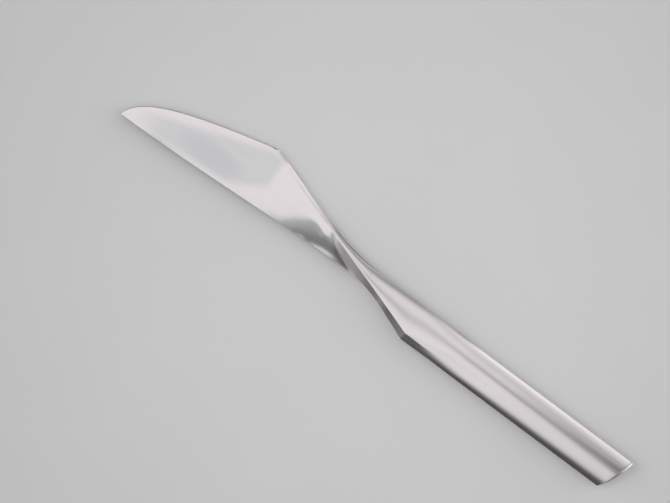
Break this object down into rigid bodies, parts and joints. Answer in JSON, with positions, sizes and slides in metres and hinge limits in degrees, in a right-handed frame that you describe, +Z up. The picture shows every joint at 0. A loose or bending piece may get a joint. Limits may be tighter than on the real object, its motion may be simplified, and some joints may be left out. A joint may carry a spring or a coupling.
{
  "type": "table knife",
  "caption": "Table knife with a ground blade, a sharp shoulder on the spine, a twisted neck and a domed hollow handle that ends in a slanted butt plate.",
  "frame": {"origin": "centre of the base of the bounding box, on the table that the knife lies on", "axes": "+X along the handle from the blade to the butt, +Y towards the blade's spine, +Z up from the table"},
  "size_m": [0.2098, 0.027, 0.0054],
  "materials": {
    "polished_steel": "polished, with fine scratches from use",
    "satin_steel": "satin, brushed lengthwise",
    "cement": "rough cast"
  },
  "bodies": {
    "root": {"blade": "polished_steel", "handle_shell_front": "satin_steel", "handle_shell_back": "satin_steel", "butt_plate": "satin_steel", "handle_filling": "cement"}
  },
  "joints": []
}
